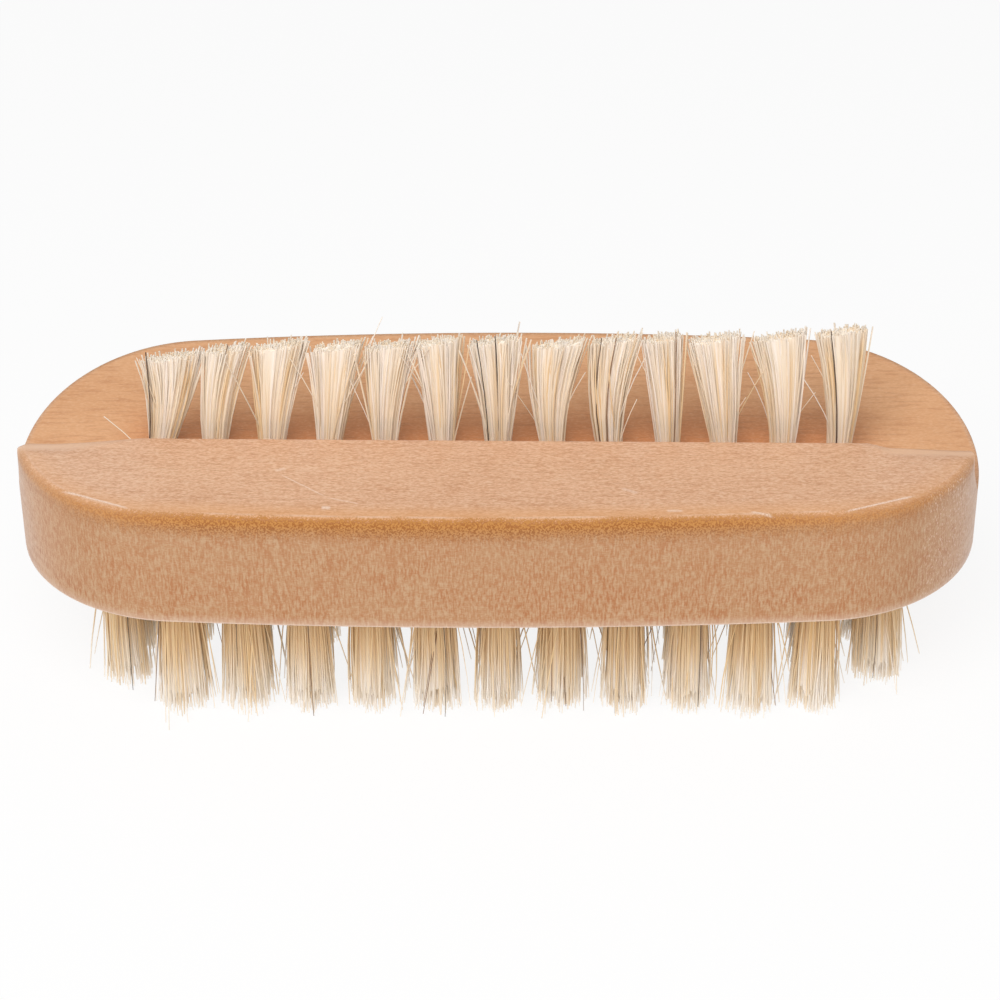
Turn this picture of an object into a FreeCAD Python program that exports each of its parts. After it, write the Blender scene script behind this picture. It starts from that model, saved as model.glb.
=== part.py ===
"""Two-sided wooden nail brush, in millimetres.

The block is one piece of hardwood, drilled with blind holes. Every bristle tuft is a bundle folded in
two round a short piece of flat wire, which bites into the wall of its hole and holds the tuft there.
The brush stands on the tips of its underside tufts, at Z = 0, with its length along X.
"""
import FreeCAD, Part

import math
import os
from dataclasses import dataclass

from FreeCAD import Vector

# Block
BLOCK_LENGTH = 95.0
BLOCK_WIDTH = 36.5
BLOCK_THICKNESS = 12.0
SIDE_BOW = 1.05  # the round ends fall short of half the width by this, so the long sides bow out
TOP_EDGE_ROUND = 1.0
BOTTOM_EDGE_BEVEL = 0.5

# Groove along the top, with an upright wall in front and a floor that slopes up to the back
GROOVE_WALL_OFFSET = 3.5  # from the centre line to the wall, towards the front
GROOVE_FLOOR_SLOPE = 13.2  # degrees
CREST_EASE_WIDTH = 0.45  # the softened corner between the front land and the wall
CREST_EASE_DROP = 0.35
CREST_EASE_BULGE = 0.07
CREST_WEAR_LENGTH = 9.0  # the sanded facet at both ends of that corner
CREST_WEAR_WIDTH = 2.0
CREST_WEAR_DROP = 0.6

# Top row of tufts, in the groove
TOP_TUFTS = 13
TOP_END_MARGIN = 13.9  # from the end of the block to the first tuft
TOP_HOLE_DIAMETER = 2.4
TOP_HOLE_DEPTH = 3.2
TOP_FREE_LENGTH = 13.0  # in the middle of the row
TOP_TRIM_RISE = 1.8  # the row was trimmed out of level, rising from the left end to the right end
TOP_TIP_GAP = 0.3  # between the fanned tips of two neighbours
TOP_TIP_DEPTH = 3.0

# Rows of tufts on the underside
UNDERSIDE_ROWS = 5
UNDERSIDE_TUFTS = 13  # in a full row
OUTER_ROW_SHORT_BY = 2  # tufts that the first and last rows lack
UNDERSIDE_END_MARGIN = 10.0  # from the end of the block to the first tuft of a full row
ROW_PITCH = 5.0
UNDERSIDE_HOLE_DIAMETER = 3.6
UNDERSIDE_HOLE_DEPTH = 3.5
UNDERSIDE_FREE_LENGTH = 14.0
UNDERSIDE_TIP_GAP = 1.55  # between the tips of two neighbours in a row
ROW_TIP_GAP = 0.6  # between the tips of two rows

# What the tufts, the holes and the anchors share
HOLE_WEB = 1.0  # wood left between the ends of the top and the underside holes
FLATS_PER_QUARTER = 2  # in each quarter turn round a bundle of bristles and its hole
TUFT_CLEARANCE = 0.03
FLARE_START = 0.1  # a tuft stays straight until this far above the lip of its hole
FOLD_THICKNESS = 0.8  # bristles folded under the wire
ANCHOR_THICKNESS = 0.4
ANCHOR_HEIGHT = 1.5
ANCHOR_BITE = 0.3  # how far each end of the wire enters the wood

FLAT_WITHIN = 1e-6  # for finding edges by their height

# Places worked out from those sizes
UNDERSIDE_Z = UNDERSIDE_FREE_LENGTH
LAND_Z = UNDERSIDE_Z + BLOCK_THICKNESS
FLOOR_RISE = math.tan(math.radians(GROOVE_FLOOR_SLOPE))
TOP_ROW_Z = UNDERSIDE_Z + UNDERSIDE_HOLE_DEPTH + HOLE_WEB + TOP_HOLE_DEPTH  # the floor at the row
TOP_PITCH = (BLOCK_LENGTH - 2 * TOP_END_MARGIN) / (TOP_TUFTS - 1)
UNDERSIDE_PITCH = (BLOCK_LENGTH - 2 * UNDERSIDE_END_MARGIN) / (UNDERSIDE_TUFTS - 1)
TUFT_SIDES = 4 * FLATS_PER_QUARTER


def floor_z(y):
    """Height of the groove's floor at a distance y behind the centre line."""
    return TOP_ROW_Z + FLOOR_RISE * y


def centred(count, pitch):
    """Places of a row of copies, centred on zero."""
    return [(i - (count - 1) / 2) * pitch for i in range(count)]


def flat_face(corners):
    """A flat face with these corners."""
    return Part.Face(Part.makePolygon(corners + corners[:1]))


def oval_outline(z):
    """Plan of the block: two end arcs and two long side arcs, tangent to each other."""
    half_length = BLOCK_LENGTH / 2
    half_width = BLOCK_WIDTH / 2
    end_radius = half_width - SIDE_BOW
    end_centre = half_length - end_radius
    side_radius = (end_centre**2 + half_width**2 - end_radius**2) / (2 * SIDE_BOW)
    side_centre = side_radius - half_width
    reach = end_radius / math.hypot(end_centre, side_centre)
    joint_x = end_centre * (1 + reach)
    joint_y = side_centre * reach

    def corner(x_sign, y_sign):
        return Vector(x_sign * joint_x, y_sign * joint_y, z)

    arcs = [
        Part.Arc(corner(-1, -1), Vector(0, -half_width, z), corner(1, -1)),
        Part.Arc(corner(1, -1), Vector(half_length, 0, z), corner(1, 1)),
        Part.Arc(corner(1, 1), Vector(0, half_width, z), corner(-1, 1)),
        Part.Arc(corner(-1, 1), Vector(-half_length, 0, z), corner(-1, -1)),
    ]
    return Part.Wire([arc.toShape() for arc in arcs])


def curved_edges(blank, z):
    """The edges of the outline that lie flat at height z."""
    return [
        edge for edge in blank.Edges
        if isinstance(edge.Curve, Part.Circle) and abs(edge.Curve.Center.z - z) < FLAT_WITHIN
    ]


def grooved_blank():
    """The oval blank with its groove, its front land rounded off at the edge and its bottom bevelled."""
    blank = Part.Face(oval_outline(UNDERSIDE_Z)).extrude(Vector(0, 0, BLOCK_THICKNESS))
    blank = blank.cut(groove_cutter())
    land_edges = [edge for edge in curved_edges(blank, LAND_Z) if edge.CenterOfMass.y < -GROOVE_WALL_OFFSET]
    blank = blank.makeFillet(TOP_EDGE_ROUND, land_edges)
    return blank.makeChamfer(BOTTOM_EDGE_BEVEL, curved_edges(blank, UNDERSIDE_Z))


def along_x(profile, start, length):
    """A profile drawn across the block at X = 0, moved to start and run along X."""
    moved = profile.translated(Vector(start, 0, 0))
    return moved.extrude(Vector(length, 0, 0))


def groove_cutter():
    """What the shaped cutter takes out: a saw tooth, upright in front and sloping at the back."""
    past = BLOCK_WIDTH  # well clear of the block behind and above
    wall = -GROOVE_WALL_OFFSET
    tooth = flat_face([
        Vector(0, wall, floor_z(wall)),
        Vector(0, past, floor_z(past)),
        Vector(0, past, LAND_Z + past),
        Vector(0, wall, LAND_Z + past),
    ])
    return along_x(tooth, -BLOCK_LENGTH, 2 * BLOCK_LENGTH)


def crest_ease_cutter():
    """The sharp corner between the front land and the wall, down to the softened one."""
    low = Vector(0, -GROOVE_WALL_OFFSET, LAND_Z - CREST_EASE_DROP)
    high = Vector(0, -GROOVE_WALL_OFFSET - CREST_EASE_WIDTH, LAND_Z)
    middle = (low + high) * 0.5 + Vector(0, CREST_EASE_BULGE, CREST_EASE_BULGE)
    outer = Vector(0, low.y + CREST_EASE_WIDTH, LAND_Z + CREST_EASE_DROP)
    corners = [high, Vector(0, high.y, outer.z), outer, Vector(0, outer.y, low.z), low]
    edges = [Part.LineSegment(a, b).toShape() for a, b in zip(corners, corners[1:])]
    edges.append(Part.Arc(low, middle, high).toShape())
    return along_x(Part.Face(Part.Wire(edges)), -BLOCK_LENGTH, 2 * BLOCK_LENGTH)


def crest_wear_cutter(end):
    """The wedge that sanding took off the corner of the wall at one end of the block."""
    low = Vector(0, -GROOVE_WALL_OFFSET, LAND_Z - CREST_WEAR_DROP)
    high = Vector(0, low.y - CREST_WEAR_WIDTH, LAND_Z)
    past = low * 2 - high
    top_z = LAND_Z + CREST_WEAR_DROP
    wedge = flat_face([high, past, Vector(0, past.y, top_z), Vector(0, high.y, top_z)])
    return along_x(wedge, end * (BLOCK_LENGTH / 2 - CREST_WEAR_LENGTH), end * 2 * CREST_WEAR_LENGTH)


def bundle_section(x, y, z, width, depth):
    """Corners round a bundle of bristles: an even polygon, with its two halves moved apart along X."""
    corner_radius = depth / 2 / math.cos(math.pi / TUFT_SIDES)
    apart = (width - depth) / 2
    corners = []
    for i in range(TUFT_SIDES):
        turn = 2 * math.pi * (i + 0.5) / TUFT_SIDES
        side = math.copysign(apart, math.cos(turn))
        offset = Vector(corner_radius * math.cos(turn) + side, corner_radius * math.sin(turn), 0)
        corners.append(Vector(x, y, z) + offset)
    return corners


def bundle_solid(sections):
    """The solid through a stack of sections. Their edges run parallel, so every side of it is flat."""
    faces = [flat_face(sections[0]), flat_face(sections[-1])]
    for low, high in zip(sections, sections[1:]):
        for i in range(TUFT_SIDES):
            faces.append(flat_face([low[i - 1], low[i], high[i], high[i - 1]]))
    return Part.Solid(Part.Shell(faces))


@dataclass(frozen=True)
class TuftKind:
    """What all the tufts on one side of the brush share."""

    out: int  # 1 where the holes open upwards, -1 where they open downwards
    mouth_z: float
    lip: float  # how far the rim of a hole stands out beyond its mouth's middle
    hole_depth: float
    hole_diameter: float
    tip_width: float
    tip_depth: float
    anchor_along_x: bool


@dataclass(frozen=True)
class TuftPlace:
    """One hole, with its tuft and its anchor."""

    kind: TuftKind
    x: float
    y: float
    tip_z: float

    def above_bottom(self, height):
        """Z at a height above the bottom of the hole, counted towards its mouth."""
        return self.kind.mouth_z + self.kind.out * (height - self.kind.hole_depth)

    def flare_z(self):
        """Where the tuft is clear of the wood and starts to fan out."""
        return self.above_bottom(self.kind.hole_depth + self.kind.lip + FLARE_START)

    def section(self, z, width, depth):
        """Corners across the bundle at height z."""
        return bundle_section(self.x, self.y, z, width, depth)

    def hole(self):
        """The blind hole, run on past the surface."""
        bottom_z = self.above_bottom(0)
        across = self.kind.hole_diameter
        bottom = flat_face(self.section(bottom_z, across, across))
        return bottom.extrude(Vector(0, 0, self.flare_z() - bottom_z))

    def anchor(self):
        """The flat wire across the hole, with both ends in the wood."""
        length = self.kind.hole_diameter + 2 * ANCHOR_BITE
        size_x = length if self.kind.anchor_along_x else ANCHOR_THICKNESS
        size_y = ANCHOR_THICKNESS if self.kind.anchor_along_x else length
        low_z = min(self.above_bottom(FOLD_THICKNESS), self.above_bottom(FOLD_THICKNESS + ANCHOR_HEIGHT))
        corner = Vector(self.x - size_x / 2, self.y - size_y / 2, low_z)
        return Part.makeBox(size_x, size_y, ANCHOR_HEIGHT, corner)

    def tuft(self):
        """The folded bundle: straight in its hole, then fanned out to its trimmed tip."""
        root = self.kind.hole_diameter - 2 * TUFT_CLEARANCE
        bundle = bundle_solid([
            self.section(self.above_bottom(0), root, root),
            self.section(self.flare_z(), root, root),
            self.section(self.tip_z, self.kind.tip_width, self.kind.tip_depth),
        ])
        return bundle.cut(self.anchor())


def top_places():
    """The row in the groove, from left to right, with anchors set across the block."""
    kind = TuftKind(
        out=1,
        mouth_z=TOP_ROW_Z,
        lip=FLOOR_RISE * TOP_HOLE_DIAMETER / 2,
        hole_depth=TOP_HOLE_DEPTH,
        hole_diameter=TOP_HOLE_DIAMETER,
        tip_width=TOP_PITCH - TOP_TIP_GAP,
        tip_depth=TOP_TIP_DEPTH,
        anchor_along_x=False,
    )
    row_length = TOP_PITCH * (TOP_TUFTS - 1)
    middle_tip_z = TOP_ROW_Z + TOP_FREE_LENGTH
    return [
        TuftPlace(kind, x, 0, middle_tip_z + TOP_TRIM_RISE * x / row_length)
        for x in centred(TOP_TUFTS, TOP_PITCH)
    ]


def underside_places():
    """The rows below, from front to back, with anchors set along the block."""
    kind = TuftKind(
        out=-1,
        mouth_z=UNDERSIDE_Z,
        lip=0,
        hole_depth=UNDERSIDE_HOLE_DEPTH,
        hole_diameter=UNDERSIDE_HOLE_DIAMETER,
        tip_width=UNDERSIDE_PITCH - UNDERSIDE_TIP_GAP,
        tip_depth=ROW_PITCH - ROW_TIP_GAP,
        anchor_along_x=True,
    )
    rows = []
    for number, y in enumerate(centred(UNDERSIDE_ROWS, ROW_PITCH)):
        outer = number in (0, UNDERSIDE_ROWS - 1)
        count = UNDERSIDE_TUFTS - OUTER_ROW_SHORT_BY * outer
        rows.append([TuftPlace(kind, x, y, 0) for x in centred(count, UNDERSIDE_PITCH)])
    return rows


def wood_block(places):
    """The finished block: the grooved blank, worn at the crest, drilled and bitten by the wires."""
    cutters = [crest_ease_cutter(), crest_wear_cutter(-1), crest_wear_cutter(1)]
    cutters += [place.hole().fuse(place.anchor()) for place in places]
    return grooved_blank().cut(cutters)


def save(name, shape):
    """Writes one node."""
    shape.exportStep(f"parts/{name}.step")


def main():
    os.makedirs("parts", exist_ok=True)
    top = top_places()
    rows = underside_places()
    every_place = top + [place for row in rows for place in row]
    save("wood_block", wood_block(every_place))
    for number, place in enumerate(top, 1):
        save(f"top_tuft_{number:02d}", place.tuft())
    save("top_anchors", Part.makeCompound([place.anchor() for place in top]))
    for number, row in enumerate(rows, 1):
        save(f"underside_tufts_row_{number}", Part.makeCompound([place.tuft() for place in row]))
        save(f"underside_anchors_row_{number}", Part.makeCompound([place.anchor() for place in row]))


main()
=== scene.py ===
"""A two-sided wooden nail brush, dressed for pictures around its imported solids.

The block, and every bristle of every tuft, are surfaces worked out here with numpy, in metres, in the frame
of the solids that they stand for. X runs along the brush, Y to its back and Z up.
"""

import math

import bmesh
import bpy
import numpy as np
from bpy.props import FloatProperty, FloatVectorProperty, IntProperty, PointerProperty
from mathutils import Matrix, Vector


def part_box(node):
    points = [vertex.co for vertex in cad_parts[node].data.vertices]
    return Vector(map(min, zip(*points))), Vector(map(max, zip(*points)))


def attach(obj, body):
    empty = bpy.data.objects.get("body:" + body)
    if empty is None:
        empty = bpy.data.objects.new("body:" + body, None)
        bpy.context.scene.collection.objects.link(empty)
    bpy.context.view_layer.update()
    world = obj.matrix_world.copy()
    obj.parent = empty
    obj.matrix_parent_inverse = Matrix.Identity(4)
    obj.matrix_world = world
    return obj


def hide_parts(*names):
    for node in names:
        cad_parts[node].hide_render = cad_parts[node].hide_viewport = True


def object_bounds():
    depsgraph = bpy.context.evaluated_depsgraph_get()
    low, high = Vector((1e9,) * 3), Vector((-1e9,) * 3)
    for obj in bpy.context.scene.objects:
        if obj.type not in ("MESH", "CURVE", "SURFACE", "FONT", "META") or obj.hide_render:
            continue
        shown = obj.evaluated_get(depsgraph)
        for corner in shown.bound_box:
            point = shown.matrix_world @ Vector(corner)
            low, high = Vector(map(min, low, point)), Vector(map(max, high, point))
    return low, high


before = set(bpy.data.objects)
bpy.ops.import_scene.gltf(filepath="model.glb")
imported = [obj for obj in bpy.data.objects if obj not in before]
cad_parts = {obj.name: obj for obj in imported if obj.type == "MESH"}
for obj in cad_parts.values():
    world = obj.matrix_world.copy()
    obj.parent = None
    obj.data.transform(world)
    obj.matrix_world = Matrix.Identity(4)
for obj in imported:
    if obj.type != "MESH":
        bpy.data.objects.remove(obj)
CAD_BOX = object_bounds()

bl_info = {
    "name": "Nail Brush",
    "version": (1, 0, 0),
    "blender": (4, 5, 0),
    "location": "3D View > Sidebar > Nail Brush",
    "description": "Builds a two-sided wooden nail brush and the stage that it stands on",
    "category": "Add Mesh",
}

MM = 0.001
BODY = "root"
TOP_NODES = sorted(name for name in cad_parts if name.startswith("top_tuft_"))
ROW_NODES = sorted(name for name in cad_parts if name.startswith("underside_tufts_"))
ANCHOR_NODES = sorted(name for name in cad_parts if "anchors" in name)


# Kinds of setting

def length(name, millimetres):
    """A length that is written in millimetres and kept in metres."""
    return FloatProperty(name=name, default=millimetres * MM, unit="LENGTH", precision=5)


def angle(name, degrees):
    """An angle that is written in degrees."""
    return FloatProperty(name=name, default=math.radians(degrees), subtype="ANGLE")


def share(name, value):
    """A share from nothing to all."""
    return FloatProperty(name=name, default=value, min=0, max=1, subtype="FACTOR")


def number(name, value):
    """A plain number."""
    return FloatProperty(name=name, default=value)


def count(name, value):
    """A whole number of like things."""
    return IntProperty(name=name, default=value, min=1)


def colour(name, *screen):
    """A colour that is written as it looks on a screen, 0 to 255, and kept as linear light."""
    steps = np.array(screen) / 255
    light = np.where(steps <= 0.04045, steps / 12.92, ((steps + 0.055) / 1.055) ** 2.4)
    return FloatVectorProperty(name=name, default=light.tolist(), subtype="COLOR", min=0, max=1)


class BlockSizes(bpy.types.PropertyGroup):
    """The shape of the wooden block, beyond what its solid's box gives."""

    side_bow: length("How much less than half the width the round ends have as radius", 1.05)
    front_round: length("Radius of the round edge of the front land", 1.0)
    back_round: length("Radius of the edge behind the groove", 0.18)
    bottom_round: length("Radius of the edge round the underside", 0.18)
    wall_offset: length("From the centre line to the upright wall, towards the front", 3.3)
    wall_skew: angle("How far the wall was cut askew", -0.9)
    floor_slope: angle("Rise of the groove's floor towards the back", 13.2)
    floor_height: length("Height of the groove's floor at the row, above the underside", 7.7)
    crest_width: length("Width of the softened corner between the land and the wall", 0.4)
    crest_drop: length("Height of the softened corner, where the crest isn't worn", 0.3)
    crest_waver: length("How far the hand-worked crest wanders up and down", 0.05)
    wear_width: length("Width of the sanded facet at both ends of the crest", 2.6)
    full_wear: length("Drop beyond the softened corner at which the facet is whole", 0.45)
    left_cut: length("How far the left end of the crest is rubbed away", 0.35)
    right_cut: length("How far the right end of the crest is rubbed away", 1.0)
    cut_reach: length("How far along the edge the rubbed corners reach", 5.0)
    top_hole: length("Diameter of the holes in the groove", 2.4)
    top_hole_depth: length("Depth of the holes in the groove", 3.2)
    top_cell: length("Half the depth of the field round the holes in the groove", 2.0)
    underside_hole: length("Diameter of the holes below", 3.6)
    underside_hole_depth: length("Depth of the holes below", 3.5)
    hole_rim: length("Crushed edge round each hole", 0.12)


class BristleSizes(bpy.types.PropertyGroup):
    """The bristles and how they are gathered into tufts."""

    top_bristles: count("Bristles in a tuft of the top row", 220)
    top_thickness: length("Diameter of a top bristle at its root", 0.21)
    top_tip_share: share("Diameter at a top tip, as a share of the root's", 0.8)
    top_root: length("Radius that the roots of a top tuft fill", 1.12)
    top_depth: length("Half the depth of a top tuft at its tip", 0.9)
    top_strays: share("Share of the top bristles that stand away from their tuft", 0.02)
    top_core: share("Width of a top tuft's close-packed core at its tip, as a share of the tuft's", 0.72)
    top_core_short: length("How far below the tips that core ends", 0.3)
    trim_tilt: number("Rise of each top tuft's tip to the right, for each unit of width", 0.17)
    underside_bristles: count("Bristles in a tuft of the underside", 260)
    underside_thickness: length("Diameter of a lower bristle at its root", 0.2)
    underside_tip_share: share("Diameter at a lower tip, as a share of the root's", 0.5)
    underside_root: length("Radius that the roots of an underside tuft fill", 1.72)
    underside_tip: length("Radius of an underside tuft at its tip", 2.0)
    underside_strays: share("Share of the lower bristles that stand away from their tuft", 0.06)
    underside_core: share("Width of a lower tuft's core at its tip, as a share of the tuft's", 0.8)
    underside_core_short: length("How far above the tips that core ends", 2.2)
    core_root: share("Width of a tuft's core at its root, as a share of the tuft's", 0.97)
    core_sides: count("Ridges round the close-packed core of a tuft", 84)
    dark_strays: share("Share of the lower strays that are dark", 0.06)
    inner_width: share("Width of the tufts in the middle of the inner rows, as a share of the others'", 0.76)
    inner_gold: share("How golden those tufts are, as a share of the others", 0.3)
    dark_share: share("Thickness of a dark bristle, as a share of the others'", 0.65)
    full_row: count("Tufts in a full row of the underside", 13)


class Finishes(bpy.types.PropertyGroup):
    """Colours of the wood, the bristles and the wire."""

    wood_land: colour("Wood of the front land", 228, 181, 146)
    wood_groove: colour("Wood of the groove's slope", 222, 169, 124)
    # Painted shade: the groove's wood made darker and more orange between the tufts
    wood_painted_shade: colour("Wood between the tufts", 212, 140, 88)
    # The sides' wood, set darker than the land's as painted shade on the upright faces
    wood_side_shaded: colour("Wood of the sides", 186, 142, 101)
    # The round ends' wood, made paler as a painted sheen from the white surround at a grazing view
    wood_end_sheen: colour("Wood of the round ends", 214, 170, 132)
    wood_pale: colour("Light dashes along the grain", 240, 208, 178)
    # Bare wood of the sanded crest, made paler still as painted light on the facet that tilts away from the
    # lamp
    wood_bare_lit: colour("Wood of the worn crest, where the varnish is gone", 252, 204, 164)
    wood_vessel: colour("Fine dark dashes along the grain", 182, 121, 78)
    wood_ray: colour("Short upright flecks on the sides", 172, 106, 58)
    wood_grey: colour("Paler wood between the flecks", 200, 166, 132)
    # A golden band laid along the front edge, over the round and down the side
    wood_edge_band: colour("Golden band where varnish soaked into the front edge", 188, 130, 68)
    wood_gilt: colour("Yellowed varnish on the land near that edge", 224, 160, 98)
    wood_burnt: colour("Darker specks in that band", 150, 88, 34)
    # Pale scratches and scrapes; the same colour paints highlights on the front edge and floor light low on
    # the sides
    wood_scuff_and_highlight: colour("Pale scratches", 246, 222, 204)
    bristle_pale: colour("Greyish white bristles", 250, 241, 230)
    bristle_cream: colour("Most of the bristles", 244, 230, 208)
    bristle_gold: colour("The yellow ones", 238, 204, 150)
    bristle_brown: colour("The few brown ones", 150, 112, 84)
    bristle_dark: colour("The few black ones", 52, 42, 40)
    wire: colour("Tinned flat wire", 176, 176, 172)


class StageSettings(bpy.types.PropertyGroup):
    """Camera and light."""

    camera_rise: angle("How far down the camera looks", 32.453)
    camera_turn: angle("How far the brush is turned about the upright", -0.74)
    camera_roll: angle("How far the camera leans over", -0.468)
    camera_distance: length("Depth of the middle of the underside in the view", 288.056)
    camera_aside: length("Place of that middle across the view", -0.12)
    camera_above: length("Place of that middle up the view", -2.456)
    focal_share: number("Focal length as a multiple of the picture's width", 2.862567)
    world_strength: number("Strength of the even light from all round", 0.3)
    floor_white: share("White that the floor shows by itself, whatever its shadow", 0.86)
    floor_bounce: share("Share of its light that the floor throws back at the brush", 0.85)
    floor_glow: share("White that the floor gives off by itself towards the brush", 0.95)
    key_power: number("Power of the soft lamp above the front, in watts", 4.2)
    key_rise: angle("Height of that lamp over the floor", 52)
    key_aside: angle("How far that lamp stands to the left", 13)
    key_distance: length("From that lamp to the brush", 700)
    key_size: length("Width of that lamp", 500)


# Surfaces

def smooth(low, high, value):
    """Eases from 0 at low to 1 at high, as 3t^2 - 2t^3."""
    t = np.clip((value - low) / (high - low), 0, 1)
    return t * t * (3 - 2 * t)


class Patchwork:
    """Grids of points gathered into one surface."""

    def __init__(self):
        self.points = []
        self.faces = []
        self.total = 0

    def add(self, grid):
        """Takes grids of shape (..., rows, columns, 3), and makes quads of their points."""
        rows, columns = grid.shape[-3:-1]
        points = grid.reshape(-1, 3)
        numbers = self.total + np.arange(len(points)).reshape(-1, rows, columns)
        corners = numbers[:, :-1, :-1], numbers[:, 1:, :-1], numbers[:, 1:, 1:], numbers[:, :-1, 1:]
        self.points.append(points)
        self.faces.append(np.stack(corners, -1).reshape(-1, 4))
        self.total += len(points)

    def mesh(self, name, weld):
        """One closed mesh: points nearer than weld are merged, and faces turned outwards."""
        mesh = bpy.data.meshes.new(name)
        mesh.from_pydata(np.concatenate(self.points), [], np.concatenate(self.faces).tolist())
        shape = bmesh.new()
        shape.from_mesh(mesh)
        bmesh.ops.remove_doubles(shape, verts=shape.verts, dist=weld)
        bmesh.ops.recalc_face_normals(shape, faces=shape.faces)
        shape.to_mesh(mesh)
        shape.free()
        return mesh


def coordinates(mesh):
    """The mesh's points as an array."""
    flat = np.empty(len(mesh.vertices) * 3)
    mesh.vertices.foreach_get("co", flat)
    return flat.reshape(-1, 3)


def set_attribute(mesh, name, values):
    """One number for each point."""
    layer = mesh.attributes.new(name, "FLOAT", "POINT")
    layer.data.foreach_set("value", np.ascontiguousarray(values, np.float32))


def new_piece(name, mesh, material, nodes):
    """An object that stands for these solids."""
    piece = bpy.data.objects.new(name, mesh)
    bpy.context.scene.collection.objects.link(piece)
    mesh.materials.append(material)
    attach(piece, BODY)
    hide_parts(*nodes)
    return piece


# Block

class Oval:
    """Plan of the block: two end arcs and two long side arcs, tangent to each other.

    Places on it are measured along the outline from the middle of the front, to the right.
    """

    def __init__(self, half_length, half_width, bow):
        self.end_radius = half_width - bow
        self.end_x = half_length - self.end_radius
        self.side_radius = (self.end_x**2 + half_width**2 - self.end_radius**2) / (2 * bow)
        self.side_y = self.side_radius - half_width
        self.joint_angle = math.atan2(self.end_x, self.side_y)
        self.joint = self.side_radius * self.joint_angle
        self.half = 2 * (self.joint + self.end_radius * (math.pi / 2 - self.joint_angle))

    def reach(self, y):
        """Distance along the outline to where the right end arc passes y."""
        return self.joint + self.end_radius * (math.acos(-y / self.end_radius) - self.joint_angle)

    def place(self, along, inset=0.0):
        """Points at these distances, moved in by inset: radius times sine and cosine about a centre."""
        signed = (np.asarray(along) + self.half) % (2 * self.half) - self.half
        back = np.abs(signed) > self.half / 2
        near = np.where(back, self.half - np.abs(signed), np.abs(signed))
        on_end = near > self.joint
        round_end = self.joint_angle + (near - self.joint) / self.end_radius
        turn = np.where(on_end, round_end, near / self.side_radius)
        radius = np.where(on_end, self.end_radius, self.side_radius) - inset
        x = np.where(on_end, self.end_x, 0) + radius * np.sin(turn)
        y = np.where(on_end, 0, self.side_y) - radius * np.cos(turn)
        return np.stack([np.copysign(x, signed), np.where(back, -y, y)], -1)

    def depth(self, xy):
        """How far points lie inside the outline."""
        x, y = np.abs(xy[..., 0]), np.abs(xy[..., 1])
        on_end = (x - self.end_x) * math.cos(self.joint_angle) > y * math.sin(self.joint_angle)
        from_end = self.end_radius - np.hypot(x - self.end_x, y)
        from_side = self.side_radius - np.hypot(x, y + self.side_y)
        return np.where(on_end, from_end, from_side)


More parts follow.
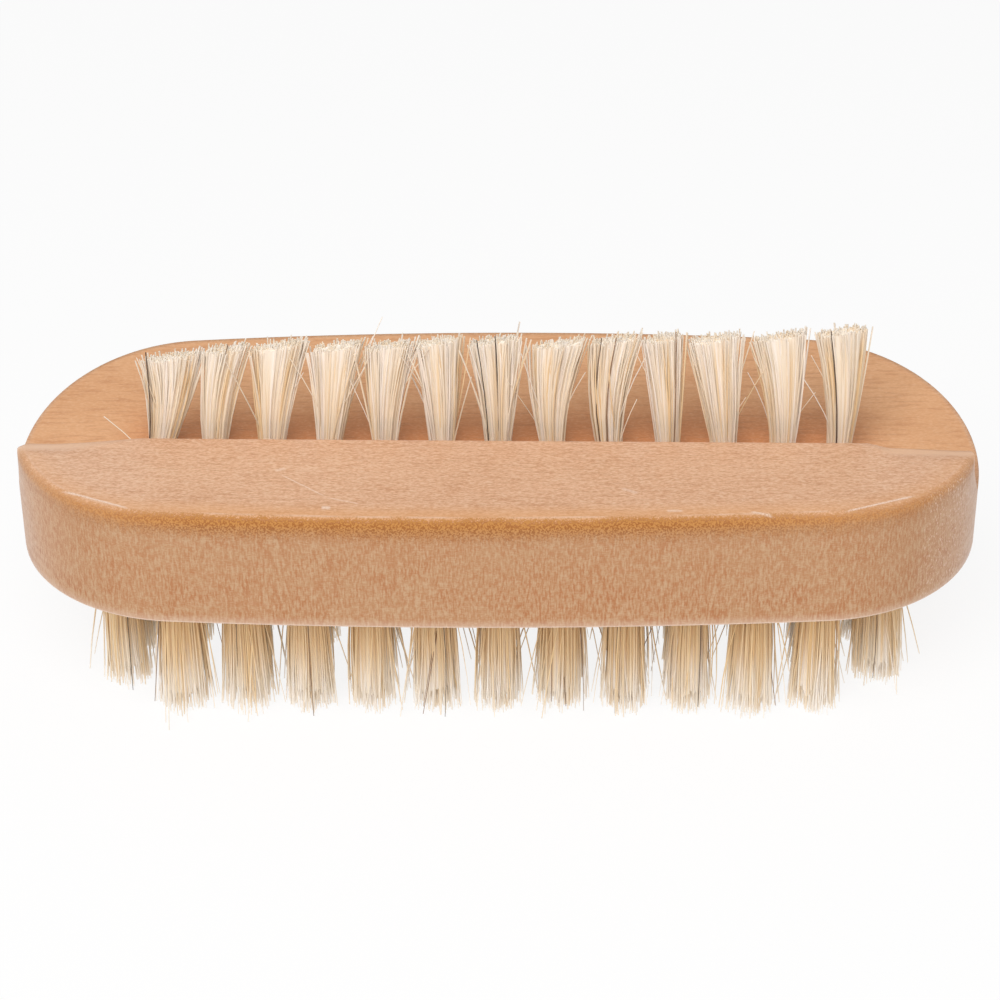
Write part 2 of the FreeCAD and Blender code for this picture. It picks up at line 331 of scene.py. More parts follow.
class Block:
    """The grooved block as patches that share their edge points.

    The land and the groove's floor are fans of straight lines from the outline to a spine. The holes are
    cells whose square rim runs into a circle. The side is the outline raised from the bottom edge to the top.
    """

    holes_across = 10
    lower_steps = 4
    fan_zones = (10, 12, 8)
    side_steps = 10
    wall_steps = 6
    edge_steps = 4
    ring_steps = 3
    underside_cell_steps = 8
    end_spacing = 1.3
    weld = 0.0005 * MM
    rim_share = 0.3
    crest_share = 0.2
    crest_reach = 1.6
    waver_waves = (2.3, 3.7)
    wear_places = (-47.3, -46.1, -43.5, -35.0, 36.0, 38.2, 44.5)
    wear_drops = (1.1, 0.55, 0.55, 0.0, 0.0, 0.45, 0.7)

    def __init__(self, sizes):
        self.sizes = sizes
        low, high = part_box("wood_block")
        self.low_z, self.land_z = low.z, high.z
        self.oval = Oval(high.x, high.y, sizes.side_bow)
        self.floor_rise = math.tan(sizes.floor_slope)
        self.top_x = np.array([node_middle(name)[0] for name in TOP_NODES])
        self.spine_x = self.top_x[-1] + (self.top_x[1] - self.top_x[0]) / 2
        self.columns = self.holes_across * len(TOP_NODES)
        self.lay_out_loop()

    def lay_out_loop(self):
        """Places round the outline: along the front between the wall's ends, then round the back."""
        oval, sizes, field = self.oval, self.sizes, self.sizes.top_cell
        tip = oval.end_x + oval.end_radius
        left_corner, right_corner = (oval.reach(self.wall(x)) for x in (-tip, tip))
        low, high = oval.reach(-field), oval.reach(field)
        across = np.linspace(-1, 1, self.columns + 1)
        crowded = self.end_spacing * across + (1 - self.end_spacing) * np.sin(across * math.pi / 2)
        upwards = np.linspace(low, high, self.holes_across + 1)[1:]
        right, left = (
            np.concatenate([np.linspace(corner, low, self.lower_steps + 1), upwards])
            for corner in (right_corner, left_corner)
        )
        self.front = crowded * np.where(crowded > 0, right_corner, left_corner)
        self.right = right
        self.back = oval.half + (oval.half - high) * crowded
        self.left = 2 * oval.half - left[::-1]
        self.loop = np.concatenate([self.front, self.right[1:], self.back[1:], self.left[1:]])
        from_right = np.clip((right_corner - self.front) / sizes.cut_reach, 0, 1)
        from_left = np.clip((left_corner + self.front) / sizes.cut_reach, 0, 1)
        self.front_cut = sizes.right_cut * (1 - from_right) ** 2 + sizes.left_cut * (1 - from_left) ** 2

    def wall(self, x):
        """Where the groove's wall stands: a straight line, a little askew."""
        return np.asarray(x) * math.tan(self.sizes.wall_skew) - self.sizes.wall_offset

    def fan(self, outline, spine):
        """Points on straight lines from outline to spine, close together near both."""
        reach = np.linalg.norm(spine - outline, axis=-1)[:, None]
        rim = np.minimum(self.sizes.front_round, self.rim_share * reach)
        crest = np.minimum(self.crest_reach * self.sizes.crest_width, self.crest_share * reach)
        rim_steps, middle_steps, crest_steps = self.fan_zones
        quarter = np.linspace(0, math.pi / 2, rim_steps + 1)
        middle = np.linspace(0, 1, middle_steps + 1)[1:]
        last = np.sin(np.linspace(0, math.pi / 2, crest_steps + 1))[1:]
        along = np.concatenate([
            rim * (1 - np.cos(quarter)),
            rim + (reach - rim - crest) * middle,
            reach - crest + crest * last,
        ], -1) / reach
        return outline[:, None] + (spine - outline)[:, None] * along[..., None]

    def wear(self, x):
        """How far the crest is worn down, on straight lines from place to place along it."""
        return np.interp(x / MM, self.wear_places, self.wear_drops) * MM

    def worn(self, x):
        """How much of a facet the crest is, from a softened corner at 0 to a sanded facet at 1."""
        return np.clip(self.wear(x) / self.sizes.full_wear, 0, 1)

    def land(self, xy):
        """Height of the front land: level, less the quarter round at the rim or the softened crest."""
        sizes = self.sizes
        x, y = xy[..., 0], xy[..., 1]
        worn = self.worn(x)
        width = sizes.crest_width + (sizes.wear_width - sizes.crest_width) * worn
        waves = [np.sin(x / (wave * MM) + turn) for turn, wave in enumerate(self.waver_waves)]
        drop = sizes.crest_drop + self.wear(x) + sizes.crest_waver * sum(waves) / len(waves)
        near = np.clip(1 - (self.wall(x) - y) / width, 0, 1)
        soft = drop * ((1 - worn) * (1 - np.sqrt(1 - near**2)) + worn * near)
        rim = quarter_drop(self.oval.depth(xy), sizes.front_round)
        return with_z(xy, self.land_z - (rim**4 + soft**4) ** 0.25)

    def floor(self, xy):
        """Height of the groove's floor: a slope, less a small quarter round at the back edge."""
        slope = self.low_z + self.sizes.floor_height + self.floor_rise * xy[..., 1]
        return with_z(xy, slope - quarter_drop(self.oval.depth(xy), self.sizes.back_round))

    def bottom(self, xy):
        """Points of the flat underside."""
        return with_z(xy, np.full(xy.shape[:-1], self.low_z))

    def spine(self, row):
        """A line that the fans end at: along the wall, or along the edge of the holes' field at row."""
        x = np.linspace(-self.spine_x, self.spine_x, self.columns + 1)
        return np.stack([x, self.wall(x) if row is None else np.full_like(x, row)], -1)

    def end_fan(self, along):
        """The floor beside the row of holes at one end of the block."""
        outline = self.oval.place(along)
        field = self.sizes.top_cell
        side = np.copysign(self.spine_x, outline[0, 0])
        steps = np.concatenate([
            np.linspace(self.wall(side), -field, self.lower_steps + 1),
            np.linspace(-field, field, self.holes_across + 1)[1:],
        ])
        spine = np.stack([np.full_like(steps, side), steps], -1)
        return self.fan(outline, spine)

    def patches(self):
        """All the grids of the block."""
        oval, field = self.oval, self.sizes.top_cell
        land = self.land(self.fan(oval.place(self.front, self.front_cut), self.spine(None)))
        right = self.floor(self.end_fan(self.right))
        left = self.floor(self.end_fan(self.left[::-1]))
        behind = self.floor(self.fan(oval.place(self.back), self.spine(field)[::-1]))
        strip = self.floor(between(self.spine(None), self.spine(-field), self.lower_steps))
        wall_top = np.concatenate([land[0], land[1:-1, -1], land[-1, ::-1]])
        wall_foot = np.concatenate([left[0], strip[0, 1:-1], right[0, ::-1]])
        wall = between(wall_foot, wall_top, self.wall_steps)
        floor_edge = np.concatenate([right[:, 0], behind[1:, 0], left[-2::-1, 0]])
        return [land, right, left, behind, strip, wall, *self.sides(land, floor_edge), *self.top_holes(),
                *self.underside()]

    def sides(self, land, floor_edge):
        """The outline raised from the bottom edge: up to the floor behind, and on to the land in front."""
        sizes = self.sizes
        turn = np.linspace(0, math.pi / 2, self.edge_steps + 1)
        insets = sizes.bottom_round * (1 - np.sin(turn))
        heights = self.low_z + sizes.bottom_round * (1 - np.cos(turn))
        bevel = np.stack([
            with_z(self.oval.place(self.loop, inset), np.full(len(self.loop), z))
            for inset, z in zip(insets, heights)
        ])
        split = len(self.front) - 1
        front_foot, back_foot = bevel[-1, :split + 1], bevel[-1, split:]
        shoulder = front_foot.copy()
        shoulder[:, 2] = np.linspace(floor_edge[-1, 2], floor_edge[0, 2], len(shoulder))
        return [
            bevel,
            between(back_foot, floor_edge, self.side_steps),
            between(front_foot, shoulder, self.side_steps),
            between(shoulder, land[:, 0], self.wall_steps),
        ]

    def top_holes(self):
        """Cells round the holes in the groove."""
        sizes = self.sizes
        half = np.array([(self.top_x[1] - self.top_x[0]) / 2, sizes.top_cell])
        centres = np.stack([self.top_x, np.zeros_like(self.top_x)], -1)
        return self.hole_cells(centres, half, self.holes_across, sizes.top_hole, sizes.top_hole_depth,
                               self.floor, -1)

    def underside(self):
        """The flat underside: cells with holes, plain cells where tufts lack, and a ring to the edge."""
        sizes, steps = self.sizes, self.underside_cell_steps
        rows = underside_rows()
        half = np.array([rows[1][1, 0] - rows[1][0, 0], rows[1][0, 1] - rows[0][0, 1]]) / 2
        corner = np.array([np.abs(rows[1][:, 0]).max(), np.abs(rows[0][:, 1]).max()]) + half
        cells = self.hole_cells(np.concatenate(rows), half, steps, sizes.underside_hole,
                                sizes.underside_hole_depth, self.bottom, 1)
        offsets = np.linspace(-1, 1, steps + 1)
        square = np.stack(np.meshgrid(offsets, offsets, indexing="ij"), -1) * half
        signs = np.array([(-1, -1), (1, -1), (1, 1), (-1, 1)])
        plain = self.bottom(signs[:, None, None] * (corner - half) + square)
        long_side = len(rows[1]) * steps
        short_side = len(rows) * steps
        first = (len(self.front) - 1 - long_side) // 2
        marks = np.cumsum([0, first, long_side, short_side, long_side, short_side - first])
        start_y = -corner[1] + first * 2 * half[1] / steps
        path_x = np.array([-1, -1, 1, 1, -1, -1]) * corner[0]
        path_y = np.array([start_y, -corner[1], -corner[1], corner[1], corner[1], start_y])
        steps_round = np.arange(len(self.loop))
        inner = np.stack([np.interp(steps_round, marks, path_x), np.interp(steps_round, marks, path_y)], -1)
        edge = self.oval.place(self.loop, sizes.bottom_round)
        ring = between(self.bottom(inner), self.bottom(edge), self.ring_steps)
        return [*cells, plain, ring]

    def hole_cells(self, centres, half, steps, diameter, depth, surface, inwards):
        """For each centre: a square rim drawn in to a circle, then a round wall, then a flat end.

        The circle's points lie in the directions of the square's, so the lines between them don't cross.
        """
        run = np.linspace(-1, 1, steps + 1)[:-1]
        one = np.ones_like(run)
        edges = ((run, -one), (one, run), (-run, one), (-one, -run))
        square = np.concatenate([np.stack(edge, -1) for edge in edges])
        square = np.concatenate([square, square[:1]])
        circle = square / np.linalg.norm(square, axis=-1, keepdims=True) * diameter / 2
        rim = 1 + 2 * self.sizes.hole_rim / diameter
        flat = np.stack([square * half, (square * half + circle * rim) / 2, circle * rim])
        face = surface(centres[:, None, None] + flat)
        mouth = surface(centres[:, None] + circle)
        lip = mouth + np.array([0, 0, inwards * self.sizes.hole_rim])
        end_z = surface(centres)[:, None, 2] + inwards * depth
        floor_rim = lip.copy()
        floor_rim[..., 2] = end_z
        middle = np.broadcast_to(with_z(centres, end_z[:, 0])[:, None], floor_rim.shape)
        return [face, np.stack([face[:, -1], lip, floor_rim, middle], 1)]


def quarter_drop(depth, radius):
    """Fall of a quarter round below its level at a depth inside the edge."""
    short = np.clip(1 - depth / radius, 0, 1)
    return radius * (1 - np.sqrt(1 - short**2))


def with_z(xy, z):
    """Points of a plan at these heights."""
    return np.concatenate([xy, np.asarray(z)[..., None]], -1)


def between(first, last, steps):
    """Rows of points from one line of points to another, evenly spaced."""
    share_along = np.linspace(0, 1, steps + 1)[:, None, None]
    return first + (last - first) * share_along


def node_middle(name):
    """Centre of a node's box."""
    low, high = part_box(name)
    return np.array((low + high) / 2)


def underside_rows():
    """Centres of the underside tufts, one array for each row, from front to back."""
    boxes = [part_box(name) for name in ROW_NODES]
    longest = max(high.x for low, high in boxes)
    pitch = longest - min(high.x for low, high in boxes)
    rows = []
    for low, high in boxes:
        lacking = 2 * round((longest - high.x) / pitch)
        tufts = bpy.context.scene.nail_brush_bristles.full_row - lacking
        x = (np.arange(tufts) - (tufts - 1) / 2) * pitch
        rows.append(np.stack([x, np.full_like(x, (low.y + high.y) / 2)], -1))
    return rows


# Bristles

ROOT_GAP = 0.5 * MM
TIP_NOISE = 0.2 * MM
# How much paler the tips are than the rest, partly as painted light among the tips
TIP_PALENESS = 0.5
CORE_TONE = 0.8
LAST_PALE_TONE = 0.97
CLUMP_SHARE = 0.55
CLUMP_WAVES = (5, 2)
THICKNESS_RANGE = (0.75, 1.15)
RIDGE_RANGE = (0.9, 1.06)


class Tubes:
    """Closed tubes gathered into one mesh, each with tones and a cell of the picture map of its own."""

    cell_fill = 0.8
    cell_margin = 0.1

    def __init__(self, cells):
        self.across = math.ceil(math.sqrt(cells))
        self.parts = []
        self.total = 0
        self.used = 0

    def add(self, rings, tones, gold):
        """Takes rings of shape (tubes, stations, sides, 3), tones that fit their first three steps, and how
        golden they are at each station."""
        tubes, stations, sides = rings.shape[:3]
        numbers = self.total + np.arange(tubes * stations * sides).reshape(tubes, stations, sides)
        turned = np.roll(numbers, -1, axis=2)
        walls = np.stack([numbers[:, :-1], turned[:, :-1], turned[:, 1:], numbers[:, 1:]], -1)
        rising = rings[:, -1, 0, 2] > rings[:, 0, 0, 2]
        walls = np.where(rising[:, None, None, None], walls, walls[..., ::-1]).reshape(-1, 4)
        ends = np.concatenate([numbers[:, 0], numbers[:, -1]])
        outward = np.concatenate([~rising, rising])
        ends = np.where(outward[:, None], ends, ends[:, ::-1])
        along = np.broadcast_to(np.linspace(0, 1, stations)[None, :, None], numbers.shape)
        row, column = np.divmod(self.used + np.arange(tubes), self.across)
        around = np.broadcast_to(np.arange(sides) / sides, numbers.shape)
        across = column[:, None, None] + around * self.cell_fill + self.cell_margin
        upward = row[:, None, None] + along * self.cell_fill + self.cell_margin
        self.parts.append({
            "points": rings.reshape(-1, 3),
            "faces": walls.tolist() + ends.tolist(),
            "tone": np.broadcast_to(tones, numbers.shape).ravel(),
            "gold": np.broadcast_to(gold[..., None], numbers.shape).ravel(),
            "map": np.stack([across, upward], -1).reshape(-1, 2) / self.across,
        })
        self.total += numbers.size
        self.used += tubes

    def joined(self, kind):
        """One array of what all the parts hold of a kind."""
        return np.concatenate([part[kind] for part in self.parts])

    def mesh(self, name):
        """One mesh of all the tubes, with their tones, their gold and their picture map."""
        mesh = bpy.data.meshes.new(name)
        mesh.from_pydata(self.joined("points"), [], [face for part in self.parts for face in part["faces"]])
        set_attribute(mesh, "tone", self.joined("tone"))
        set_attribute(mesh, "gold", self.joined("gold"))
        corners = np.empty(len(mesh.loops), np.int32)
        mesh.loops.foreach_get("vertex_index", corners)
        layer = mesh.uv_layers.new(name="OFBake")
        layer.data.foreach_set("uv", self.joined("map")[corners].astype(np.float32).ravel())
        return mesh


def thin_rings(lines, radii, turns, sides):
    """Level rings of sides points about each point of each line."""
    angles = np.arange(sides) * 2 * math.pi / sides + turns[:, None]
    ring = np.stack([np.cos(angles), np.sin(angles), np.zeros_like(angles)], -1)
    return lines[:, :, None] + radii[:, :, None, None] * ring[:, None]


def disc_points(rng, number_of):
    """Points spread evenly over a unit disc."""
    radius = np.sqrt(rng.random(number_of))
    turn = rng.random(number_of) * 2 * math.pi
    return np.stack([radius * np.cos(turn), radius * np.sin(turn)], -1)


def level_out(disc):
    """Spreads a disc's points evenly along X: the share of its area on one side of a line, as -1 to 1."""
    across = np.clip(disc[:, 0], -1, 1)
    even = 2 / math.pi * (np.arcsin(across) + across * np.sqrt(1 - across**2))
    return np.stack([even, disc[:, 1]], -1)


def tuft_lines(root, tip, root_z, mouth_z, tip_z, flare, bow, stations):
    """Lines of bristles: straight in the hole, then spreading as a power of the height, with a slight bow."""
    z = root_z + (tip_z - root_z)[:, None] * np.linspace(0, 1, stations)
    height = np.clip((z - mouth_z) / (tip_z - mouth_z)[:, None], 0, 1)
    spread = root[:, None] + (tip - root)[:, None] * (height**flare)[..., None]
    spread = spread + bow[:, None] * np.sin(math.pi * height)[..., None]
    return with_z(spread, z)


def bristle_radii(rng, tones, thickness, tip_share, dark_share, stations):
    """Radius of each bristle at each station: thinner towards the tip, and thinner if it is a dark one."""
    taper = np.linspace(1, tip_share, stations)
    own = rng.uniform(*THICKNESS_RANGE, len(tones)) * np.where(tones >= 1, dark_share, 1)
    return thickness / 2 * own[:, None] * taper


def clumped_tones(rng, disc, owner):
    """Tones from 0 to 1, alike for bristles that stand side by side in a tuft."""
    phase = rng.random(owner.max() + 1)[owner] * 2 * math.pi
    clump = 0.5 + 0.5 * np.sin(disc @ CLUMP_WAVES + phase)
    return LAST_PALE_TONE * ((1 - CLUMP_SHARE) * rng.random(len(disc)) + CLUMP_SHARE * clump)


def ridged_circle(rng, tufts, sides):
    """Points round a unit circle for each tuft, each a little in or out, for the ridges of a core."""
    turn = np.arange(sides) * 2 * math.pi / sides
    circle = np.stack([np.cos(turn), np.sin(turn)], -1)
    return (circle * rng.uniform(*RIDGE_RANGE, (tufts, sides, 1))).reshape(-1, 2)


def gilding(stations, amount, fading, pale_from):
    """How golden bristles are along their length: golden at the root, partly as painted shade, and paler than
    the rest at the tip, partly as painted light.
    """
    along = np.linspace(0, 1, stations)
    return amount * (1 - smooth(*fading, along)) - TIP_PALENESS * smooth(pale_from, 1, along)


class NAILBRUSH_OT_top_tufts(bpy.types.Operator):
    """Bristles of the row in the groove, one piece for each tuft"""

    bl_idname = "nail_brush.top_tufts"
    bl_label = "Top Tufts"

    first_seed = 100
    stations = 7
    sides = 4
    flare = 1.35
    leans = (2.2, 1.7, 1.3, 1.2, 0.9, -0.3, -0.2, 0.4, 0.3, -0.9, -1.3, -0.8, -0.5)
    low_leans = (0.95, 0.2, 0.25, 0.4, 0.05, 0.0, 0.0, -0.3, -0.4, -0.2, -0.4, 0.0, 0.1)
    low_height = 1 / 3
    widths = (6.7, 4.7, 6.3, 5.6, 5.2, 4.9, 5.2, 5.9, 5.2, 4.2, 5.8, 5.7, 5.4)
    trims = (-0.1, 0.5, 0.8, 0.45, 0.45, 0.65, 0.65, 0.15, 0.45, 0.45, 0.25, 0.3, 0.65)
    highest = 1.05 * MM
    least_spread, more_spread = 0.76, 0.36
    stray_reach = (1.8 * MM, 0.9 * MM)
    trim_noise = (-0.1 * MM, 0.17 * MM)
    bow_noise = 0.12 * MM
    core_ends = (0.6, 1.4)
    # Only slightly golden at the root; tips paler, partly as painted light
    gold = (0.15, (0.3, 0.9), 0.84)
    front_edge = -1
    dark_rise = 0.9 * MM

    # By tuft: place across and darkness
    dark = {
        1: ((-0.95, 0.8),), 2: ((0.15, 0.3),), 7: ((-0.8, 1.0), (-0.05, 1.0)), 9: ((-0.6, 0.6), (-0.1, 0.1)),
        10: ((0.4, 0.1),), 13: ((-0.3, 0.8),),
    }
    # By tuft: how far aside, back and above the hole each tip is, in millimetres
    strays = {
        1: ((-6.1, 3.2, 3.1), (-1.3, -1.0, 12.2)),
        3: ((-3.9, -1.0, 11.8), (3.6, -1.0, 10.5)),
        4: ((5.4, 6.0, 12.8), (4.6, 2.4, 12.6), (3.9, -1.1, 11.2), (-3.3, -1.1, 12.2)),
        5: ((-3.4, -1.0, 10.6), (4.6, -1.0, 13.1)),
        6: ((-3.9, -1.2, 12.8), (3.0, -1.0, 10.0)),
        8: ((-4.3, -1.0, 9.6), (3.2, -1.2, 10.6), (-3.2, -1.0, 12.6)),
        9: ((2.9, -0.9, 7.4), (3.4, -0.6, 12.0)),
        10: ((-3.4, -0.9, 12.6),),
        11: ((1.9, -0.9, 7.6), (-3.6, -1.0, 12.4), (3.7, -0.9, 11.0)),
        12: ((-3.9, -0.9, 10.4), (2.7, -1.0, 8.2), (-3.3, -0.8, 12.0)),
        13: ((-4.2, -0.9, 9.8), (-3.4, -0.8, 12.2)),
    }

    def execute(self, context):
        sizes = context.scene.nail_brush_bristles
        material = bristle_finish(context.scene.nail_brush_finishes)
        for place, name in enumerate(TOP_NODES):
            rng = np.random.default_rng(self.first_seed + place)
            mesh = self.tuft(name, place, sizes, context.scene.nail_brush_block, rng)
            new_piece(f"{name}_bristles", mesh, material, [name])
        return {"FINISHED"}

    def tuft(self, name, place, sizes, block, rng):
        """One fan of bristles, leaning and spreading as its own tuft does."""
        low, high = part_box(name)
        many, sides = sizes.top_bristles, sizes.core_sides
        half = np.array([self.widths[place] * MM / 2, sizes.top_depth])
        lean = np.array([self.leans[place] * MM, 0])
        top = high.z + self.trims[place] * MM
        root_z, mouth_z = low.z + ROOT_GAP, low.z + block.top_hole_depth
        disc = disc_points(rng, many)
        tones = clumped_tones(rng, disc, np.zeros(many, int))
        strays = rng.random((many, 1)) < sizes.top_strays
        stray = strays * rng.normal(0, 1, (many, 2)) * self.stray_reach
        dark = self.dark.get(place + 1, ())
        for number_of, (across, darkness) in enumerate(dark):
            disc[number_of] = across, self.front_edge
            tones[number_of] = 1 + darkness
            stray[number_of] = 0
        fan = level_out(disc) * (self.least_spread + self.more_spread * rng.random((many, 1)) ** 3)
        tip = fan * half + lean + stray + rng.normal(0, TIP_NOISE, (many, 2))
        tip_z = top + sizes.trim_tilt * (tip[:, 0] - lean[0]) + rng.normal(*self.trim_noise, many)
        tip_z[:len(dark)] += self.dark_rise
        thinner = np.ones((many, 1))
        for number_of, (aside, back, above) in enumerate(self.strays.get(place + 1, ()), start=many // 2):
            tip[number_of] = aside * MM, back * MM
            tip_z[number_of] = mouth_z + above * MM
            thinner[number_of] = sizes.dark_share
        tip_z = np.minimum(tip_z, CAD_BOX[1][2] + self.highest)
        bow = rng.normal(0, self.bow_noise, (many, 2))
        lines = tuft_lines(disc * sizes.top_root, tip, root_z, mouth_z, tip_z, self.flare, bow, self.stations)
        radii = thinner * bristle_radii(
            rng, tones, sizes.top_thickness, sizes.top_tip_share, sizes.dark_share, self.stations
        )
        turns = rng.random(many) * math.pi
        edge = ridged_circle(rng, 1, sides)
        tip = level_out(edge) * half * sizes.top_core + lean
        short = sizes.top_core_short * rng.uniform(*self.core_ends, sides)
        tip_z = top + sizes.trim_tilt * (tip[:, 0] - lean[0]) - short
        root, bow = edge * sizes.top_root * sizes.core_root, np.zeros_like(edge)
        core = tuft_lines(root, tip, root_z, mouth_z, tip_z, self.flare, bow, self.stations)
        for bundle in (lines, core):
            bundle[..., :2] += node_middle(name)[:2]
            bundle[..., 0] += self.bend(place, bundle[..., 2], mouth_z, top)
        gold = gilding(self.stations, *self.gold)
        tubes = Tubes(many + 1)
        tubes.add(thin_rings(lines, radii, turns, self.sides), tones[:, None, None], gold)
        tubes.add(core.swapaxes(0, 1)[None], CORE_TONE * rng.random((1, 1, sides)), gold)
        return tubes.mesh(name)

    def bend(self, place, z, mouth_z, top):
        """How far a tuft bends aside on the way up: nothing at both ends, its own share between."""
        height = np.clip((z - mouth_z) / (top - mouth_z), 0, 1)
        straight = self.leans[place] * self.low_height**self.flare
        rise = self.low_height * (1 - self.low_height)
        return (self.low_leans[place] - straight) * MM * height * (1 - height) / rise


class NAILBRUSH_OT_underside_tufts(bpy.types.Operator):
    """Bristles of the underside, one piece for each row"""

    bl_idname = "nail_brush.underside_tufts"
    bl_label = "Underside Tufts"

    first_seed = 200
    stations = 6
    sides = 4
    flare = 0.7
    lean_noise = 0.2 * MM
    trim_noise = 0.1 * MM
    bow_noise = 0.16 * MM
    width_range = (0.94, 1.08)
    splay = 0.42
    stray_reach = 1.7 * MM
    ragged_share, ragged_ends, even_ends = 0.36, 0.9 * MM, 0.12 * MM
    inner_reach = 35 * MM
    inner_strays = 0.4
    stray_darkness = 0.3
    front_edge = -0.98
    core_ends = (0.7, 1.3)
    # Golden near the roots, partly as painted shade under the block; tips paler, partly as painted light
    gold = (0.95, (0.45, 0.95), 0.75)

    # By row: tuft, place across and darkness
    dark = {
        1: ((2, -0.3, 0.7), (3, 0.1, 0.3), (5, 0.35, 0.8), (8, -0.35, 0.3), (9, 0.6, 0.7)),
        2: ((1, 0.3, 0.9), (13, -0.2, 0.6)),
    }
    # By row: tuft, and how far its tip leans aside and forward, in millimetres
    leans = {
        1: ((1, 0, 0.7), (2, 0, 0.6), (3, 0, 0.8), (4, 0, 0.8), (5, 0, 0.6), (6, 0, 0.8), (7, 0, 0.4),
            (8, 0, 0.9), (9, 0, 1.2), (10, 0, 1.5), (11, 0, 0.9)),
        2: ((1, 0, 1.3), (13, 0.6, 1.0)),
    }

    def execute(self, context):
        sizes = context.scene.nail_brush_bristles
        material = bristle_finish(context.scene.nail_brush_finishes)
        for place, (name, centres) in enumerate(zip(ROW_NODES, underside_rows())):
            rng = np.random.default_rng(self.first_seed + place)
            mesh = self.row(name, place, centres, sizes, context.scene.nail_brush_block, rng)
            new_piece(f"{name}_bristles", mesh, material, [name])
        return {"FINISHED"}

    def row(self, name, place, centres, sizes, block, rng):
        """Every bristle of the row: each tuft spreads a little, with ragged tips and some stray bristles."""
        low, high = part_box(name)
        tufts, each, sides = len(centres), sizes.underside_bristles, sizes.core_sides
        many = each * tufts
        owner = np.repeat(np.arange(tufts), each)
        root_z, mouth_z = high.z - ROOT_GAP, high.z - block.underside_hole_depth
        leans = rng.normal(0, self.lean_noise, (tufts, 2))
        widths = sizes.underside_tip * rng.uniform(*self.width_range, (tufts, 1))
        trims = np.abs(rng.normal(0, self.trim_noise, tufts))
        for tuft, aside, forward in self.leans.get(place + 1, ()):
            leans[tuft - 1] = aside * MM, -forward * MM
        inner = (0 < place < len(ROW_NODES) - 1) & (np.abs(centres[:, 0]) < self.inner_reach)
        slimness = np.where(inner, sizes.inner_width, 1)[:, None]
        widths = widths * slimness
        roots = sizes.underside_root * slimness
        disc = disc_points(rng, many)
        tones = clumped_tones(rng, disc, owner)
        strays = rng.random(many) < sizes.underside_strays * np.where(inner, self.inner_strays, 1)[owner]
        dark_strays = strays & (rng.random(many) < sizes.dark_strays)
        tones = np.where(dark_strays, 1 + self.stray_darkness * rng.random(many), tones)
        stray = strays[:, None] * rng.normal(0, self.stray_reach, (many, 2))
        for tuft, across, darkness in self.dark.get(place + 1, ()):
            first = (tuft - 1) * each
            disc[first] = across, self.front_edge
            tones[first] = 1 + darkness
            stray[first] = 0
        splay = 1 + self.splay * rng.random((many, 1)) * np.sum(disc**2, -1, keepdims=True)
        tip = disc * widths[owner] * splay + leans[owner] + stray + rng.normal(0, TIP_NOISE, (many, 2))
        ends = np.where(rng.random(many) < self.ragged_share, self.ragged_ends, self.even_ends)
        tip_z = low.z + trims[owner] + rng.exponential(ends)
        bow = rng.normal(0, self.bow_noise, (many, 2))
        lines = tuft_lines(disc * roots[owner], tip, root_z, mouth_z, tip_z, self.flare, bow, self.stations)
        lines[..., :2] += centres[owner][:, None]
        radii = bristle_radii(
            rng, tones, sizes.underside_thickness, sizes.underside_tip_share, sizes.dark_share, self.stations
        )
        gold = gilding(self.stations, *self.gold)
        gold = gold * np.where(inner & (gold > 0)[:, None], sizes.inner_gold, 1).T
        tubes = Tubes(many + tufts)
        rings = thin_rings(lines, radii, rng.random(many) * math.pi, self.sides)
        tubes.add(rings, tones[:, None, None], gold[owner])
        edge = ridged_circle(rng, tufts, sides)
        owner = np.repeat(np.arange(tufts), sides)
        tip = edge * widths[owner] * sizes.underside_core + leans[owner]
        short = sizes.underside_core_short * rng.uniform(*self.core_ends, len(edge))
        tip_z = low.z + trims[owner] + short
        root, bow = edge * roots[owner] * sizes.core_root, np.zeros_like(edge)
        lines = tuft_lines(root, tip, root_z, mouth_z, tip_z, self.flare, bow, self.stations)
        lines[..., :2] += centres[owner][:, None]
        rings = lines.reshape(tufts, sides, self.stations, 3).swapaxes(1, 2)
        tubes.add(rings, CORE_TONE * rng.random((tufts, 1, sides)), gold)
        return tubes.mesh(name)


# Finishes

class Nodes:
    """A node tree, with short calls for what a pattern needs."""

    def __init__(self, tree):
        self.tree = tree

    def add(self, kind, inputs=(), **settings):
        """A node with these settings; each input is a value or another node's output."""
        node = self.tree.nodes.new(kind)
        for name, value in settings.items():
            setattr(node, name, value)
        for name, value in dict(inputs).items():
            self.put(node.inputs[name], value)
        return node

    def put(self, socket, value):
        """Sets a socket, or links an output to it."""
        if isinstance(value, bpy.types.NodeSocket):
            self.tree.links.new(value, socket)
        else:
            socket.default_value = value

    def math(self, operation, first, second=0.0):
        """One sum."""
        return self.add("ShaderNodeMath", {0: first, 1: second}, operation=operation).outputs[0]

    def times(self, first, *others):
        """The product of several numbers."""
        for other in others:
            first = self.math("MULTIPLY", first, other)
        return first

    def step(self, value, low, high, start=0.0, end=1.0):
        """Eases from start at low to end at high."""
        inputs = {"Value": value, "From Min": low, "From Max": high, "To Min": start, "To Max": end}
        return self.add("ShaderNodeMapRange", inputs, interpolation_type="SMOOTHSTEP").outputs["Result"]

    def mix(self, factor, first, second):
        """One colour laid over another."""
        node = self.add("ShaderNodeMix", data_type="RGBA")
        sockets = [socket for socket in node.inputs if socket.enabled]
        for socket, value in zip(sockets, (factor, first, second)):
            self.put(socket, (*value, 1) if hasattr(value, "__len__") and len(value) == 3 else value)
        return next(socket for socket in node.outputs if socket.enabled)

    def seen_directly(self):
        """1 for rays from the camera, from a reflection or through a clear surface."""
        rays = self.add("ShaderNodeLightPath").outputs
        other = self.math("MAXIMUM", rays["Is Glossy Ray"], rays["Is Transmission Ray"])
        return self.math("MAXIMUM", rays["Is Camera Ray"], other)


